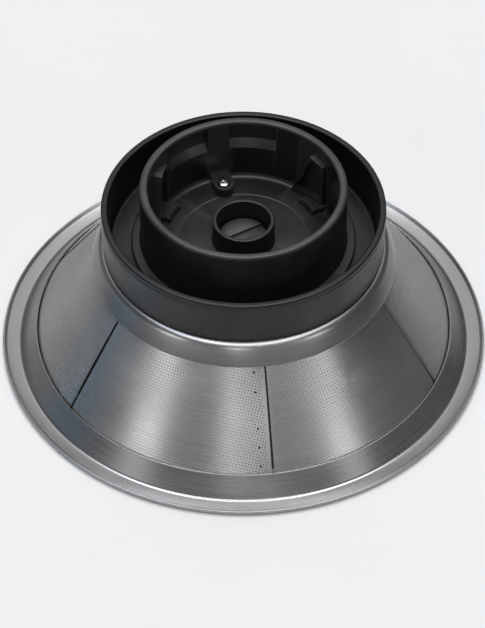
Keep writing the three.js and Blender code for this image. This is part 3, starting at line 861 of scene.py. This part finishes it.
def pocket_cutter(centre, side):
    start = centre + (POCKET_NEAR if side > 0 else -POCKET_FAR)
    return turned_sector("pocket", [
        (34.2, 63.1),
        (38.2, 69.1),
        (38.2, 75.6),
        (34.2, 78.9),
    ], start, start + POCKET_FAR - POCKET_NEAR)


DOG_OUTLINE = ((-10.6, 50.9), (6.2, 50.9), (0.8, 62.6), (-2.6, 73.4), (-4.0, 74.5), (-10.6, 73))
DOG_HOLLOW = ((-9.7, 54.6), (3.9, 54.6), (-0.2, 62.4), (-3.1, 70.6), (-4.2, 72.4), (-5.6, 73),
              (-7.6, 72.6), (-9, 71.4), (-9.7, 69.4))


def floor_pad(centre):
    return turned_sector("pad", [
        (29.3, CAVITY_FLOOR - 0.5),
        (WALL_MIDDLE, CAVITY_FLOOR - 0.5),
        (WALL_MIDDLE, 53.6),
        (30.2, 53.6, 0.4),
        (29.3, 52.8, 0.3),
    ], centre - 20, centre - 3, 12)


def screw_boss(centre):
    outline = [(WALL_MIDDLE, -BOSS_HALF_WIDTH), (WALL_MIDDLE, BOSS_HALF_WIDTH)]
    outline += arc_points((BOSS_CENTRE_RADIUS, 0), BOSS_HALF_WIDTH, 90, 270, 20)
    return upright_prism("boss", outline, CAVITY_FLOOR - 0.5, BOSS_TOP, 0, centre)


def drive_coupling():
    additions, hollows, keys = [], [], []
    for turn in THIRDS:
        additions.append(wall_prism("dog", DOG_OUTLINE, DOG_FACE_RADIUS, WALL_MIDDLE, DOG_CENTRE + turn))
        hollows.append(wall_prism("dog hollow", DOG_HOLLOW, DOG_FACE_RADIUS - 1, RING_INNER - 0.6,
                                  DOG_CENTRE + turn))
        additions.append(floor_pad(DOG_CENTRE + turn))
        additions.append(screw_boss(PAIR_CENTRE + turn))
        keys.append(upright_prism("key", rectangle(*KEY_SIZE), BOSS_TOP - 0.3, BOSS_TOP + 0.4,
                                  KEY_AT, PAIR_CENTRE + turn))
        hollows += [pocket_cutter(PAIR_CENTRE + turn, side) for side in (-1, 1)]
    mesh = combine(coupling_shell(), additions, "UNION")
    mesh = combine(mesh, keys, "UNION")
    hollows += round_holes(HUB_BOTTOM - 1, BOSS_TOP + 1, SCREW_HOLE)
    hollows += round_holes(SCREW_HEAD_BOTTOM - 0.3, BOSS_TOP + 1, SCREW_RECESS)
    mesh = combine(mesh, hollows, "DIFFERENCE")
    show("drive_coupling_moulded", softened(mesh, 0.22), COUPLING_PLASTIC,
         ["drive_coupling"])


# ---- Fasteners and the centre lock ----

def moved(mesh, radius, azimuth):
    """The mesh pushed out along +X and turned round the axis."""
    angle = math.radians(azimuth)
    for vertex in mesh.vertices:
        x, y = vertex.co.x + radius * MM, vertex.co.y
        vertex.co.x = x * math.cos(angle) - y * math.sin(angle)
        vertex.co.y = x * math.sin(angle) + y * math.cos(angle)
    return mesh


def hub_screw(index):
    head = turned("screw", [
        (0, SCREW_HEAD_BOTTOM - 9.6),
        (1.1, SCREW_HEAD_BOTTOM - 9.6, 0.3),
        (1.5, SCREW_HEAD_BOTTOM - 8.8, 0.2),
        (1.5, SCREW_HEAD_BOTTOM, 0.1),
        (SCREW_HEAD_RADIUS, SCREW_HEAD_BOTTOM, 0.15),
        (SCREW_HEAD_RADIUS, SCREW_HEAD_TOP - 0.35, 0.3),
        (1.3, SCREW_HEAD_TOP, 0.6),
        (0, SCREW_HEAD_TOP),
    ], SMALL_ROUND_STEPS // 2)
    arms = [upright_prism("arm", rectangle(*size), SCREW_HEAD_TOP - 0.7, SCREW_HEAD_TOP + 1)
            for size in ((2.7, 0.6), (0.6, 2.7))]
    screw = softened(combine(head, arms, "DIFFERENCE"), 0.06)
    name = "hub_screw_%d" % index
    moved(screw, SCREW_AT, PAIR_CENTRE + THIRDS[index - 1])
    show(name + "_plated", screw, BRIGHT_STEEL, [name])


def blind_nut(index):
    """A low domed nut on the grater's side."""
    name = "blind_nut_%d" % index
    high, low = top(name), bottom(name)
    hexagon = arc_points((0, 0), 3.3, 0, 300, 5)
    nut = upright_prism("hexagon", hexagon, low + 1.1, high)
    dome = turned("dome", [
        (0, low), (1.6, low, 0.8), (2.7, low + 1.3, 0.3), (2.7, low + 1.6), (0, low + 1.6)], 48)
    bore = turned("bore", [
        (0, high - 1.7), (SCREW_HOLE, high - 1.7), (SCREW_HOLE, high + 1), (0, high + 1)], 32)
    nut = combine(combine(softened(nut, 0.25), [dome], "UNION"), [bore], "DIFFERENCE")
    moved(nut, SCREW_AT, PAIR_CENTRE + THIRDS[index - 1])
    show(name + "_plated", nut, BRIGHT_STEEL, [name])


def centre_lock():
    """Slotted quarter-turn head, its stem and the two lugs at the stem's end."""
    head = turned("lock", [
        (0, bottom("centre_lock")),
        (STEM_RADIUS, bottom("centre_lock"), 0.5),
        (STEM_RADIUS, LOCK_HEAD_BOTTOM, 0.4),
        (LOCK_HEAD_RADIUS, LOCK_HEAD_BOTTOM, 0.3),
        (LOCK_HEAD_RADIUS, LOCK_HEAD_TOP, 0.45),
        (0, LOCK_HEAD_TOP),
    ], SMALL_ROUND_STEPS)
    slot = upright_prism("slot", rectangle(2 * LOCK_HEAD_RADIUS + 2, SLOT_WIDTH),
                         LOCK_HEAD_TOP - SLOT_DEPTH, LOCK_HEAD_TOP + 1, 0, LOCK_ANGLE)
    lugs = upright_prism("lugs", rectangle(10.4, 3), 37.4, 39.2, 0, LOCK_ANGLE)
    lock = combine(combine(head, [lugs], "UNION"), [slot], "DIFFERENCE")
    show("centre_lock_moulded", softened(lock, 0.18), LOCK_PLASTIC,
         ["centre_lock"], "centre_lock")


def lock_washer():
    """A wave washer, pressed nearly flat between the cup's floor and the lock's head."""
    inner, outer, thick = 4.9, 8.3, 0.3
    low, high = bottom("lock_washer"), top("lock_washer")
    wave = (high - low - thick) / 2
    steps = SMALL_ROUND_STEPS
    vertices, faces = [], []
    for k in range(steps):
        angle = 2 * math.pi * k / steps
        rise = low + wave * (1 + math.cos(3 * angle))
        for radius, lift in ((inner, 0), (outer, 0), (outer, thick), (inner, thick)):
            vertices.append((radius * math.cos(angle), radius * math.sin(angle), rise + lift))
    for k in range(steps):
        here, ahead = 4 * k, 4 * ((k + 1) % steps)
        faces += [(here + j, ahead + j, ahead + (j + 1) % 4, here + (j + 1) % 4) for j in range(4)]
    show("lock_washer_sprung", mesh_from("washer", vertices, faces), BRIGHT_STEEL,
         ["lock_washer"])


def centre_seal():
    low, high = bottom("centre_seal"), top("centre_seal")
    inner, outer = STEM_RADIUS + 0.3, CENTRE_HOLE - 0.4
    mesh = turned("seal", [
        (inner, low, 0.8), (outer, low, 0.8), (outer, high, 0.8), (inner, high, 0.8)], SMALL_ROUND_STEPS)
    show("centre_seal_ring", mesh, SEAL_RUBBER, ["centre_seal"])


def centre_cone():
    """The cone that spreads the fruit, with its bore and the two ledges that hold the lock's lugs."""
    high, low = top("centre_cone"), bottom("centre_cone")
    radius = reach("centre_cone")
    cone = turned("cone", [
        (0, low),
        (3.2, low, 2.4),
        (7.4, low + 5, 6),
        (radius, high - 1.6, 1),
        (radius, high, 0.3),
        (5.6, high, 0.2),
        (5.6, 35.5, 0.3),
        (0, 35.5),
    ], SMALL_ROUND_STEPS)
    ledges = [turned_sector("ledge", [(3.7, 39.5), (6.1, 39.5), (6.1, 41.5), (3.7, 41.5)],
                            LOCK_ANGLE + turn - 40, LOCK_ANGLE + turn + 40, 12) for turn in (0, 180)]
    mesh = combine(cone, ledges, "UNION")
    show("centre_cone_moulded", mesh, LOCK_PLASTIC, ["centre_cone"])


# ---- Studio ----

FLOOR_RADIUS = 6             # metres


def floor():
    """A wide, plain pale disc. Reflections leave it out and see the world's light below the horizon."""
    make = Maker("floor")
    mottle = make.noise(make.place(), 30, detail=2)
    make.feed(make.shader.inputs["Base Color"], make.tint(mottle, (0.9, 0.9, 0.9), (0.92, 0.92, 0.92)))
    make.shader.inputs["Roughness"].default_value = 0.9
    make.shader.inputs["Specular IOR Level"].default_value = 0.1
    disc = bmesh.new()
    bmesh.ops.create_circle(disc, cap_ends=True, segments=SMALL_ROUND_STEPS, radius=FLOOR_RADIUS)
    mesh = bpy.data.meshes.new("floor")
    disc.to_mesh(mesh)
    disc.free()
    mesh.materials.append(make.material)
    ground = bpy.data.objects.new("floor", mesh)
    bpy.context.scene.collection.objects.link(ground)
    ground.visible_glossy = False


# Upright soft boxes round the basket: azimuth of the middle, half width and brightness
SOFT_BOXES = ((-141, 8, 1.9), (-94, 6, 1.9), (-39, 7, 2.2), (-56, 10, 0.12))
BOX_SOFTNESS = 9
BOX_HEIGHTS = (2, 12, 22, 31)        # elevations where the boxes fade in and out
# Wide panels: azimuth, half width, softness, the elevations of the fades, and brightness
WIDE_PANELS = (
    (90, 36, 24, (28, 40, 60, 66), 0.72),
    (90, 62, 40, (-32, -20, -10, 0), 0.4),
    (180, 60, 40, (-24, -6, 10, 30), 0.16),
    (-90, 50, 40, (-16, -6, 22, 44), 0.22),
)
NEAR_FLOOR_LIGHT = 0.75
SURROUND_LIGHT = 0.12
OVERHEAD_LIGHT = 4.4
OVERHEAD = (58, 68)                  # elevations where the overhead box fades in
OVERHEAD_MIDDLE = (72, 80)           # and where it fades to its dimmer middle
MIDDLE_LIGHT = 1.6
NEAR_FLOOR = (-48, -20)              # elevations where the light from below fades out
COOL_SIDE = (180, 12, 12)            # azimuth, half width and softness of a bluish patch of light
COOL_TINT = (0.72, 0.95, 1.2)


def add_node(tree, kind, inputs=(), **settings):
    made = tree.nodes.new(kind)
    for key, value in settings.items():
        setattr(made, key, value)
    for key, value in enumerate(inputs):
        if isinstance(value, bpy.types.NodeSocket):
            tree.links.new(value, made.inputs[key])
        else:
            made.inputs[key].default_value = value
    return made.outputs[0]


def fade(tree, angle, start, end, first, last):
    """A smooth step from one value to another between two angles in degrees."""
    limits = (math.radians(start), math.radians(end))
    return add_node(tree, "ShaderNodeMapRange", (angle, *limits, first, last),
                    interpolation_type="SMOOTHSTEP")


def around(tree, azimuth, middle, half_width, softness, brightness):
    """Light round one azimuth, soft at both sides."""
    away = add_node(tree, "ShaderNodeMath", (azimuth, math.radians(middle)), operation="SUBTRACT")
    away = add_node(tree, "ShaderNodeMath", (away, math.pi, -math.pi), operation="WRAP")
    away = add_node(tree, "ShaderNodeMath", (away,), operation="ABSOLUTE")
    return fade(tree, away, half_width - softness / 2, half_width + softness / 2, brightness, 0.0)


def between(tree, elevation, heights):
    rise = fade(tree, elevation, heights[0], heights[1], 0.0, 1.0)
    fall = fade(tree, elevation, heights[2], heights[3], 1.0, 0.0)
    return add_node(tree, "ShaderNodeMath", (rise, fall), operation="MULTIPLY")


def studio_light():
    """Soft light: dim walls, soft boxes, wide panels, a lit floor, and a box overhead with a dim middle."""
    world = bpy.data.worlds.new("studio")
    bpy.context.scene.world = world
    world.use_nodes = True
    tree = world.node_tree
    parts = tree.nodes.new("ShaderNodeSeparateXYZ")
    tree.links.new(tree.nodes.new("ShaderNodeTexCoord").outputs["Generated"], parts.inputs[0])
    azimuth = add_node(tree, "ShaderNodeMath", (parts.outputs["Y"], parts.outputs["X"]), operation="ARCTAN2")
    elevation = add_node(tree, "ShaderNodeMath", (parts.outputs["Z"],), operation="ARCSINE")
    light = fade(tree, elevation, *OVERHEAD, SURROUND_LIGHT, OVERHEAD_LIGHT)
    low_light = fade(tree, elevation, *NEAR_FLOOR, NEAR_FLOOR_LIGHT, 0.0)
    dim_middle = fade(tree, elevation, *OVERHEAD_MIDDLE, 0.0, MIDDLE_LIGHT - OVERHEAD_LIGHT)
    for change in (low_light, dim_middle):
        light = add_node(tree, "ShaderNodeMath", (light, change), operation="ADD")
    lamps = [(around(tree, azimuth, middle, half_width, BOX_SOFTNESS, brightness), BOX_HEIGHTS)
             for middle, half_width, brightness in SOFT_BOXES]
    lamps += [(around(tree, azimuth, middle, half_width, softness, brightness), heights)
              for middle, half_width, softness, heights, brightness in WIDE_PANELS]
    for lamp, heights in lamps:
        reach_up = between(tree, elevation, heights)
        lamp = add_node(tree, "ShaderNodeMath", (lamp, reach_up), operation="MULTIPLY")
        light = add_node(tree, "ShaderNodeMath", (light, lamp), operation="ADD")
    cool = tree.nodes.new("ShaderNodeMix")
    cool.data_type = "RGBA"
    tree.links.new(around(tree, azimuth, *COOL_SIDE, 1.0), cool.inputs["Factor"])
    cool.inputs["A"].default_value = (1, 0.995, 0.995, 1)
    cool.inputs["B"].default_value = (*COOL_TINT, 1)
    tinted = tree.nodes.new("ShaderNodeVectorMath")
    tinted.operation = "SCALE"
    tree.links.new(cool.outputs["Result"], tinted.inputs[0])
    tree.links.new(light, tinted.inputs["Scale"])
    seen = tree.nodes.new("ShaderNodeMix")
    seen.data_type = "RGBA"
    tree.links.new(tree.nodes.new("ShaderNodeLightPath").outputs["Is Camera Ray"], seen.inputs["Factor"])
    tree.links.new(tinted.outputs["Vector"], seen.inputs["A"])
    seen.inputs["B"].default_value = (1, 1, 1, 1)
    tree.links.new(seen.outputs["Result"], tree.nodes["Background"].inputs["Color"])


def camera():
    elevation = math.radians(CAMERA_ELEVATION)
    eye = Vector((0, -math.cos(elevation), math.sin(elevation))) * CAMERA_DISTANCE * MM
    target = Vector((0, 0, (CAMERA_TARGET + BEND_DROP) * MM))
    data = bpy.data.cameras.new("camera")
    data.lens = LENS
    data.sensor_width = SENSOR
    data.shift_x, data.shift_y = OFF_CENTRE
    view = bpy.data.objects.new("camera", data)
    view.location = target + eye
    view.rotation_euler = (-eye).to_track_quat("-Z", "Y").to_euler()
    bpy.context.scene.collection.objects.link(view)
    bpy.context.scene.camera = view
    bpy.context.scene.view_settings.view_transform = "Standard"


# ---- The basket ----

camera()
floor()
studio_light()
rim_ring()
rim_inner_ring()
for panel in range(len(SEAMS)):
    mesh_panel(panel)
spot_welds()
base_pan()
grater_disc()
hub_skirt()
drive_coupling()
for number in (1, 2, 3):
    hub_screw(number)
    blind_nut(number)
centre_lock()
lock_washer()
centre_seal()
centre_cone()
